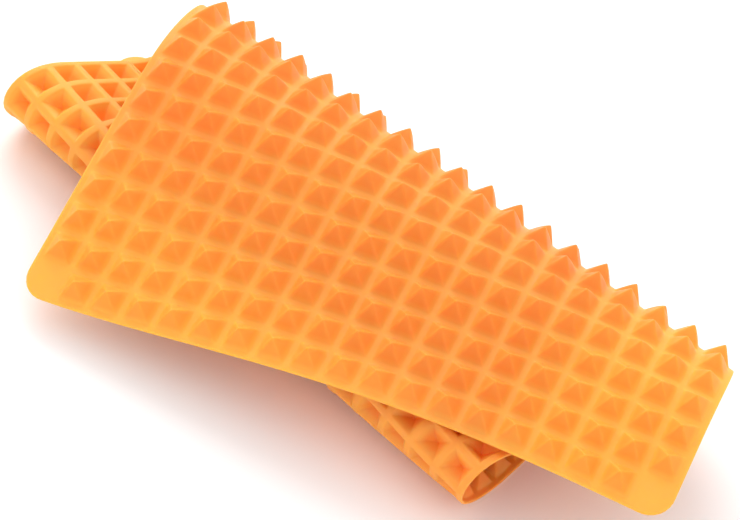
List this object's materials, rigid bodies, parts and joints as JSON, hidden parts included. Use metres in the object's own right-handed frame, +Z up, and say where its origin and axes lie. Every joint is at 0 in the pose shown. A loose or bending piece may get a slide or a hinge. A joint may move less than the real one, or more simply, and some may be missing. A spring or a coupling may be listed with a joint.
{
  "type": "pyramid grid mat",
  "caption": "Flexible rubber mat covered in a grid of hollow pyramids with pits on its underside, folded obliquely into three loose layers.",
  "frame": {"origin": "middle of the footprint, on the surface that the folded mat lies on", "axes": "+X along the bottom layer's rows of pyramids, +Y from the lower fold to the bottom layer's far edge, +Z up out of the surface"},
  "size_m": [0.3486, 0.1716, 0.0736],
  "materials": {
    "bottom_panel": "matte, slightly translucent orange silicone rubber",
    "lower_fold": "matte, slightly translucent orange silicone rubber",
    "middle_panel": "matte, slightly translucent orange silicone rubber",
    "upper_fold": "matte, slightly translucent orange silicone rubber",
    "top_panel": "matte, slightly translucent orange silicone rubber"
  },
  "bodies": {
    "bottom": {"bottom_panel": "bottom_panel", "lower_fold": "lower_fold"},
    "middle": {"middle_panel": "middle_panel", "upper_fold": "upper_fold"},
    "top": {"top_panel": "top_panel"}
  },
  "joints": [
    {"name": "upper_fold_opening", "type": "hinge", "parent": "middle", "child": "top", "pos_m": [0.00891, 0.07288, 0.03331], "axis": [-0.9987, 0.0382, 0.0323], "range_deg": [0, 150], "deforming": ["upper_fold"]},
    {"name": "lower_fold_opening", "type": "hinge", "parent": "bottom", "child": "middle", "pos_m": [-0.03478, -0.03222, 0.02462], "axis": [0.9881, -0.1537, 0], "range_deg": [0, 75], "deforming": ["lower_fold"]}
  ],
  "couplings": [
    {"joint": "lower_fold_opening", "follows": "upper_fold_opening", "ratio": 0.5}
  ]
}
